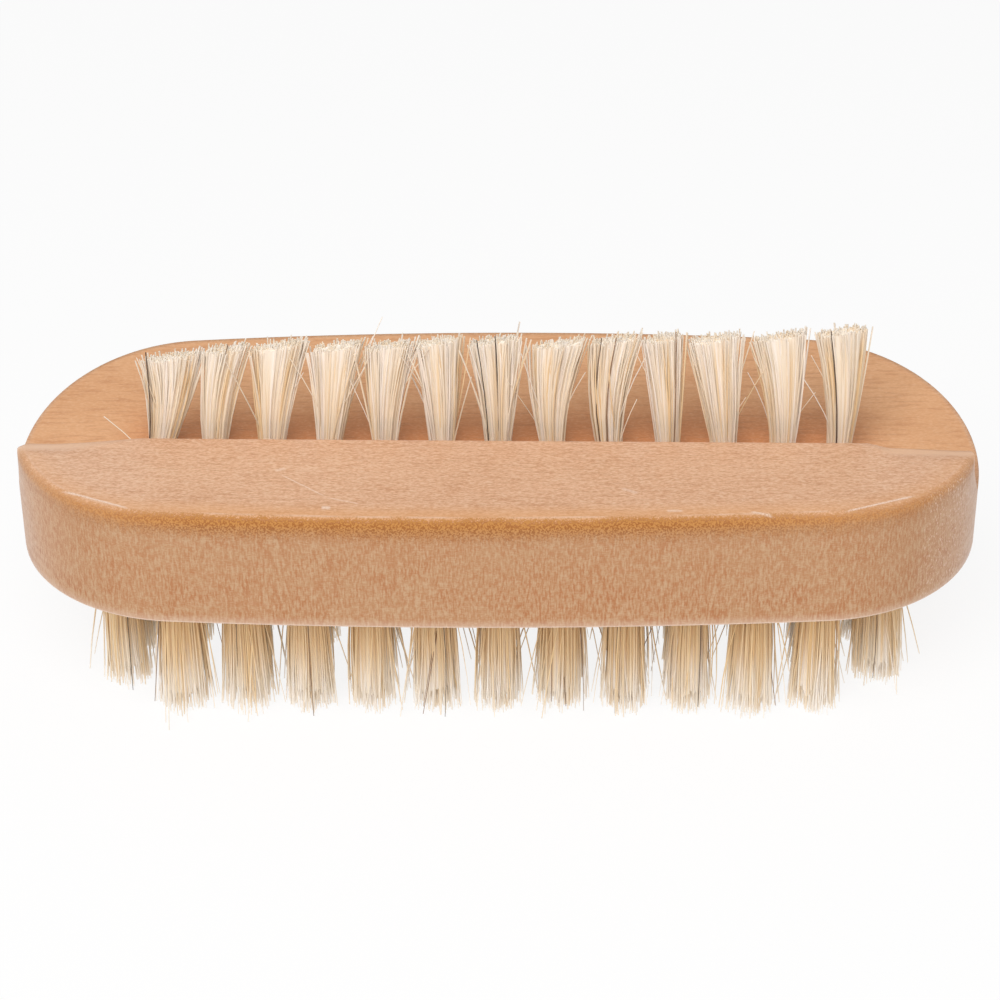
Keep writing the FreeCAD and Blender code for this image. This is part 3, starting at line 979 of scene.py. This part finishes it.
class Finish(Nodes):
    """A material in the making."""

    def __init__(self, name):
        self.material = bpy.data.materials.new(name)
        self.material.use_nodes = True
        super().__init__(self.material.node_tree)
        self.shader = self.tree.nodes["Principled BSDF"]
        self.places = self.add("ShaderNodeTexCoord").outputs["Object"]

    def set(self, **values):
        """Sets the shader's own sockets; underscores stand for spaces."""
        for name, value in values.items():
            self.put(self.shader.inputs[name.replace("_", " ")], value)

    def attribute(self, name):
        """A number kept on the piece's points."""
        return self.add("ShaderNodeAttribute", attribute_name=name).outputs["Fac"]

    def parts(self, place):
        """X, Y and Z of a place."""
        return self.add("ShaderNodeSeparateXYZ", {"Vector": place}).outputs

    def noise(self, grain, detail=2.0, roughness=0.5, shift=0.0):
        """Cloudy noise whose patches are about as long as grain, in millimetres along X, Y and Z."""
        scale = [1 / (step * MM) for step in grain]
        inputs = {"Vector": self.places, "Scale": scale, "Location": [shift] * 3}
        mapped = self.add("ShaderNodeMapping", inputs).outputs[0]
        inputs = {"Vector": mapped, "Scale": 1.0, "Detail": detail, "Roughness": roughness}
        return self.add("ShaderNodeTexNoise", inputs).outputs["Fac"]

    def pale_mark(self, breaks, x, y, long, wide, turn, amount):
        """A mark on the land at x, y, in millimetres, that fades towards its ends, broken by a noise."""
        inputs = {"Vector": self.places, "Location": (x * MM, y * MM, 0)}
        inputs["Rotation"] = (0, 0, math.radians(turn))
        parts = self.parts(self.add("ShaderNodeMapping", inputs, vector_type="TEXTURE").outputs[0])
        along = self.step(self.math("ABSOLUTE", parts["X"]), 0.3 * long * MM, 0.5 * long * MM, 1, 0)
        across = self.step(self.math("ABSOLUTE", parts["Y"]), 0, 0.5 * wide * MM, 1, 0)
        on_land = self.step(parts["Z"], 25.5 * MM, 25.8 * MM)
        return self.times(along, across, on_land, self.step(breaks, 0.3, 0.6, 0.4 * amount, amount))


# Pale marks on the land: x, y, length, width and turn, in millimetres and degrees, and strength. The first
# seven are scratches; the last two are painted highlights on the round edge near the ends
SCRATCHES_AND_HIGHLIGHTS = (
    (-20.8, -8.8, 1.2, 0.7, 20, 0.5),
    (-18.5, -11.6, 6.6, 0.22, -41, 0.8),
    (-14.4, -14.4, 3.8, 0.2, -20, 0.7),
    (-16.0, -15.6, 1.0, 0.9, 0, 0.8),
    (12.6, -12.7, 2.0, 0.7, -30, 0.5),
    (16.7, -16.2, 1.8, 0.6, 0, 0.6),
    (24.8, -16.7, 2.4, 0.6, -15, 0.7),
    (-37.9, -14.1, 8.0, 0.45, -25, 0.9),
    (36.0, -15.0, 8.0, 0.4, 22, 1.0),
)


def wood_finish(colours):
    """Satin varnished hardwood: dashes along the grain, flecks on the sides, a golden band along the front
    edge, scuffs, and painted shade between the tufts, painted highlights and painted floor light.
    """
    wood = Finish("varnished_wood")
    names = ("side", "groove", "groove_shade", "end", "inland", "worn", "band_strength", "scraped")
    side, groove, groove_shade, end, inland, worn, band_strength, scraped = map(wood.attribute, names)
    ends = wood.times(side, end)
    height = wood.parts(wood.places)["Z"]
    patches = wood.noise((20, 6, 6), detail=3, roughness=0.55)
    dashes = wood.noise((0.4, 0.11, 0.11), roughness=0.6)
    grain = wood.noise((3.0, 0.35, 0.35), roughness=0.6, shift=5.0)
    flecks = wood.noise((0.19, 0.19, 0.85), roughness=0.6, shift=3.0)
    growth = wood.noise((9.0, 9.0, 0.55), detail=3, roughness=0.6, shift=11.0)
    scrapes = wood.noise((0.14, 0.14, 0.35), shift=7.0)
    clouds = wood.noise((4.0, 4.0, 3.0), shift=9.0)
    specks = wood.noise((0.17, 0.17, 0.17), detail=1, shift=1.0)

    # How much of the dashes the groove keeps, and where the flecks crowd
    faint = wood.step(groove, 0, 1, 1, 0.35)
    streaks = wood.times(wood.step(grain, 0.46, 0.7), wood.step(groove, 0, 1, 0.3, 0.4))
    pale = wood.times(wood.step(dashes, 0.5, 0.34, 0, 0.5), wood.step(side, 0, 1, 1, 0.3), faint)
    crowded = wood.times(wood.step(clouds, 0.3, 0.65, 0.5, 1), wood.step(height, 16 * MM, 23 * MM, 1, 0.75))

    # The golden band along the front edge: from inland, over the round edge and down the side, with a ragged
    # border
    small, large = (0.4 * MM, 0.1 * MM)
    ragged = wood.math("ADD", wood.step(specks, 0.2, 0.8, -small, small),
                       wood.step(clouds, 0.3, 0.7, -large, large))
    above = wood.step(wood.math("ADD", inland, ragged), 1.0 * MM, 0.36 * MM)
    below = wood.step(wood.math("ADD", height, ragged), 23.2 * MM, 25.4 * MM)
    edge_band = wood.mix(wood.step(specks, 0.4, 0.62, 0, 0.9), colours.wood_edge_band, colours.wood_burnt)
    gilded = wood.times(wood.step(inland, 3.6 * MM, 0.9 * MM, 0, 0.45), band_strength)
    on_land = wood.step(height, 24.5 * MM, 25.5 * MM)
    # Painted highlight: a thin pale line along the top of the round edge
    from_rim = wood.math("ABSOLUTE", wood.math("SUBTRACT", inland, 0.9 * MM))
    lit = wood.times(wood.step(from_rim, 0.25 * MM, 0, 0, 0.3), band_strength, wood.step(clouds, 0.4, 0.6))

    # Land, then the groove, with painted shade on the groove between the tufts
    tan = wood.mix(groove, colours.wood_land, wood.mix(groove_shade, colours.wood_groove, colours.wood_painted_shade))
    # Sides darker than the land as painted shade, and round ends paler as a painted sheen from the white
    # surround
    tan = wood.mix(side, tan, wood.mix(end, colours.wood_side_shaded, colours.wood_end_sheen))
    layers = (
        (wood.step(patches, 0.35, 0.7, 0, 0.16), colours.wood_vessel),
        (streaks, colours.wood_vessel),
        (wood.times(wood.step(dashes, 0.48, 0.66, 0, 0.48), faint), colours.wood_vessel),
        (pale, colours.wood_pale),
        (wood.times(side, crowded, wood.step(flecks, 0.46, 0.66, 0, 0.8)), colours.wood_ray),
        (wood.times(ends, wood.step(growth, 0.46, 0.64, 0, 0.32)), colours.wood_ray),
        (wood.times(side, wood.step(flecks, 0.5, 0.3, 0, 0.6)), colours.wood_grey),
        (wood.times(gilded, on_land), colours.wood_gilt),
        (wood.times(above, below, band_strength), edge_band),
        (lit, colours.wood_scuff_and_highlight),
        # Worn crest: bare wood, paler as painted light on the backward-tilted facet
        (wood.times(worn, 0.75), colours.wood_bare_lit),
        (wood.times(scraped, wood.step(scrapes, 0.54, 0.7, 0, 0.5)), colours.wood_scuff_and_highlight),
        # Scratches, and the two painted highlights on the round edge near the ends
        *((wood.pale_mark(specks, *marking), colours.wood_scuff_and_highlight) for marking in SCRATCHES_AND_HIGHLIGHTS),
        # Painted floor light: the sides paler towards the bottom, and a thin painted highlight along the
        # bottom edge
        (wood.times(side, wood.step(height, 15.2 * MM, 13.9 * MM, 0, 0.3)), colours.wood_scuff_and_highlight),
        (wood.times(side, wood.step(height, 14.28 * MM, 14.12 * MM, 0, 0.5)), colours.wood_scuff_and_highlight),
    )
    for amount, paint in layers:
        tan = wood.mix(amount, tan, paint)
    wood.set(Base_Color=tan, Roughness=wood.step(patches, 0.2, 0.8, 0.44, 0.56))
    relief = wood.add("ShaderNodeBump", {"Height": dashes, "Distance": 0.02 * MM, "Strength": 0.3})
    wood.set(Normal=relief.outputs["Normal"], Coat_Weight=wood.times(ends, 0.35), Coat_Roughness=0.25)
    return wood.material


def bristle_finish(colours):
    """Natural bristle: each one pale, cream, golden or, now and then, black; golden near its root, partly as
    painted shade, and paler at its tip, partly as painted light.
    """
    name = "natural_bristle"
    if name in bpy.data.materials:
        return bpy.data.materials[name]
    bristle = Finish(name)
    tone, gold = map(bristle.attribute, ("tone", "gold"))
    shade = bristle.mix(bristle.step(tone, 0.15, 0.45), colours.bristle_pale, colours.bristle_cream)
    shade = bristle.mix(bristle.step(tone, 0.55, 0.9, 0, 0.75), shade, colours.bristle_gold)
    # Golden towards the root, partly painted shade; paler towards the tip, partly painted light
    shade = bristle.mix(gold, shade, colours.bristle_gold)
    shade = bristle.mix(bristle.times(gold, -1.0), shade, colours.bristle_pale)
    shaded = bristle.mix(bristle.math("SUBTRACT", tone, 1.0), colours.bristle_brown, colours.bristle_dark)
    shade = bristle.mix(bristle.step(tone, 0.985, 0.987), shade, shaded)
    bristle.set(Base_Color=shade, Roughness=0.42)
    return bristle.material


def wire_finish(colours):
    """Tinned wire with fine drawing lines."""
    wire = Finish("tinned_wire")
    drawn = wire.noise((2.0, 0.05, 0.05))
    darker = [0.5 * part for part in colours.wire]
    wire.set(Base_Color=wire.mix(wire.step(drawn, 0.3, 0.7, 0, 0.4), colours.wire, darker))
    wire.set(Metallic=1.0, Roughness=wire.step(drawn, 0.3, 0.7, 0.3, 0.45))
    return wire.material


class NAILBRUSH_OT_block(bpy.types.Operator):
    """The grooved block of varnished wood"""

    bl_idname = "nail_brush.block"
    bl_label = "Wood Block"

    sharp_from = math.radians(40)
    wall_slack = 0.02 * MM
    band_fade = 0.6

    def execute(self, context):
        block = Block(context.scene.nail_brush_block)
        patchwork = Patchwork()
        for grid in block.patches():
            patchwork.add(grid)
        mesh = patchwork.mesh("wood_block_surface", block.weld)
        mesh.polygons.foreach_set("use_smooth", np.ones(len(mesh.polygons), bool))
        mesh.set_sharp_from_angle(angle=self.sharp_from)
        self.mark(mesh, block, coordinates(mesh))
        material = wood_finish(context.scene.nail_brush_finishes)
        new_piece("wood_block_surface", mesh, material, ["wood_block"])
        return {"FINISHED"}

    def mark(self, mesh, block, points):
        """Where the sides, ends, groove, painted shade between the tufts, golden edge band and wear are, and
        how far in from the edge points lie.
        """
        x, y, z = points.T
        reach = np.abs(x)
        depth = block.oval.depth(points[:, :2])
        from_wall = block.wall(x) - y
        front = from_wall > -self.wall_slack
        off_wall = smooth(0, 3 * MM, from_wall)
        side = smooth(0.6 * MM, 0.1 * MM, depth)
        band_strength = 1 - self.band_fade * (smooth(25 * MM, 46 * MM, -x) + smooth(15 * MM, 46 * MM, x))
        scraped = smooth(39.5 * MM, 41.5 * MM, x) * smooth(46.8 * MM, 44.8 * MM, x)
        facet = smooth(block.sizes.wear_width, 0.6 * block.sizes.wear_width, from_wall)
        on_top = smooth(block.land_z - 2.5 * MM, block.land_z - 1.5 * MM, z)
        marks = {
            "side": side,
            "groove": ~front * (1 - side),
            # Painted shade on the groove's floor near the row of tufts
            "groove_shade": ~front * smooth(10 * MM, 2.5 * MM, y) * smooth(40 * MM, 33 * MM, reach),
            "end": smooth(39 * MM, 47 * MM, reach),
            "band_strength": band_strength * off_wall,
            "scraped": scraped * side * off_wall,
            "inland": depth,
            "worn": front * block.worn(x) * facet * on_top,
        }
        for name, values in marks.items():
            set_attribute(mesh, name, values)


class NAILBRUSH_OT_anchors(bpy.types.Operator):
    """Finish of the wires that hold the tufts"""

    bl_idname = "nail_brush.anchors"
    bl_label = "Anchor Wires"

    def execute(self, context):
        material = wire_finish(context.scene.nail_brush_finishes)
        for name in ANCHOR_NODES:
            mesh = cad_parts[name].data
            mesh.materials.clear()
            mesh.materials.append(material)
        return {"FINISHED"}


class NAILBRUSH_OT_stage(bpy.types.Operator):
    """White floor, soft light and the camera"""

    bl_idname = "nail_brush.stage"
    bl_label = "Stage"

    floor_half = 2.0
    sensor_width = 36
    clip_start = 0.01

    def execute(self, context):
        settings = context.scene.nail_brush_stage
        context.scene.view_settings.view_transform = "Standard"
        self.make_floor(context, settings)
        self.make_world(context, settings)
        self.make_lamp(context, settings)
        self.make_camera(context, settings)
        return {"FINISHED"}

    def make_floor(self, context, settings):
        """A wide white plane that the brush stands on. To the camera it is part white by itself, part lit."""
        half = self.floor_half
        mesh = bpy.data.meshes.new("floor")
        corners = [(-half, -half, 0), (half, -half, 0), (half, half, 0), (-half, half, 0)]
        mesh.from_pydata(corners, [], [(0, 1, 2, 3)])
        floor = bpy.data.objects.new("floor", mesh)
        context.scene.collection.objects.link(floor)
        white = Finish("white_floor")
        seen = white.seen_directly()
        grey = white.step(seen, 0, 1, settings.floor_bounce, 1)
        lit = white.add("ShaderNodeBsdfDiffuse", {"Color": grey}).outputs[0]
        own = white.add("ShaderNodeEmission").outputs[0]
        amount = white.step(seen, 0, 1, settings.floor_glow, settings.floor_white)
        blend = white.add("ShaderNodeMixShader", {"Fac": amount, 1: lit, 2: own})
        white.put(white.tree.nodes["Material Output"].inputs["Surface"], blend.outputs[0])
        white.tree.nodes.remove(white.shader)
        mesh.materials.append(white.material)

    def make_world(self, context, settings):
        """Even white light, and plain white where the camera, a reflection or a clear surface shows it."""
        world = bpy.data.worlds.new("white_surround")
        context.scene.world = world
        world.use_nodes = True
        sky = Nodes(world.node_tree)
        sockets = sky.tree.nodes["Background"].inputs
        sky.put(sockets["Color"], (1, 1, 1, 1))
        sky.put(sockets["Strength"], sky.step(sky.seen_directly(), 0, 1, settings.world_strength, 1))

    def make_lamp(self, context, settings):
        """A square soft lamp turned towards the brush."""
        lamp = bpy.data.lights.new("key_lamp", "AREA")
        lamp.energy = settings.key_power
        lamp.size = settings.key_size
        level = settings.key_distance * math.cos(settings.key_rise)
        place = Vector((
            -level * math.sin(settings.key_aside),
            -level * math.cos(settings.key_aside),
            settings.key_distance * math.sin(settings.key_rise),
        ))
        holder = bpy.data.objects.new("key_lamp", lamp)
        holder.location = place
        holder.visible_glossy = False
        holder.rotation_euler = (-place).to_track_quat("-Z", "Y").to_euler()
        context.scene.collection.objects.link(holder)

    def make_camera(self, context, settings):
        """Looks down at the brush from the front: rise, roll and turn give its axes, the rest its place."""
        camera = bpy.data.cameras.new("camera")
        camera.sensor_width = self.sensor_width
        camera.lens = settings.focal_share * self.sensor_width
        camera.clip_start = self.clip_start
        holder = bpy.data.objects.new("camera", camera)
        rise, roll = settings.camera_rise, settings.camera_roll
        right = np.array((1, 0, 0))
        ahead = np.array((0, math.cos(rise), -math.sin(rise)))
        up = np.array((0, math.sin(rise), math.cos(rise)))
        leaning_right = math.cos(roll) * right + math.sin(roll) * up
        leaning_up = math.cos(roll) * up - math.sin(roll) * right
        turn = np.array(Matrix.Rotation(settings.camera_turn, 3, "Z"))
        axes = np.array([leaning_right, leaning_up, ahead]) @ turn
        middle = np.array((0, 0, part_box("wood_block")[0].z))
        seen = np.array((settings.camera_aside, settings.camera_above, settings.camera_distance))
        place = middle - axes.T @ seen
        pose = np.eye(4)
        pose[:3, :3] = np.stack([axes[0], axes[1], -axes[2]], -1)
        pose[:3, 3] = place
        holder.matrix_world = Matrix(pose.tolist())
        context.scene.collection.objects.link(holder)
        context.scene.camera = holder


OPERATORS = (
    NAILBRUSH_OT_block,
    NAILBRUSH_OT_top_tufts,
    NAILBRUSH_OT_underside_tufts,
    NAILBRUSH_OT_anchors,
    NAILBRUSH_OT_stage,
)


class NAILBRUSH_PT_panel(bpy.types.Panel):
    """Lists what the brush is built from"""

    bl_idname = "NAILBRUSH_PT_panel"
    bl_label = "Nail Brush"
    bl_space_type = "VIEW_3D"
    bl_region_type = "UI"
    bl_category = "Nail Brush"

    def draw(self, context):
        for operator in OPERATORS:
            self.layout.operator(operator.bl_idname)


SETTINGS = {
    "nail_brush_block": BlockSizes,
    "nail_brush_bristles": BristleSizes,
    "nail_brush_finishes": Finishes,
    "nail_brush_stage": StageSettings,
}
CLASSES = (*SETTINGS.values(), *OPERATORS, NAILBRUSH_PT_panel)


def register():
    for new_class in CLASSES:
        bpy.utils.register_class(new_class)
    for name, group in SETTINGS.items():
        setattr(bpy.types.Scene, name, PointerProperty(type=group))


def unregister():
    for name in SETTINGS:
        delattr(bpy.types.Scene, name)
    for old_class in reversed(CLASSES):
        bpy.utils.unregister_class(old_class)


def main():
    register()
    bpy.ops.nail_brush.block()
    bpy.ops.nail_brush.top_tufts()
    bpy.ops.nail_brush.underside_tufts()
    bpy.ops.nail_brush.anchors()
    bpy.ops.nail_brush.stage()


if __name__ == "__main__":
    main()
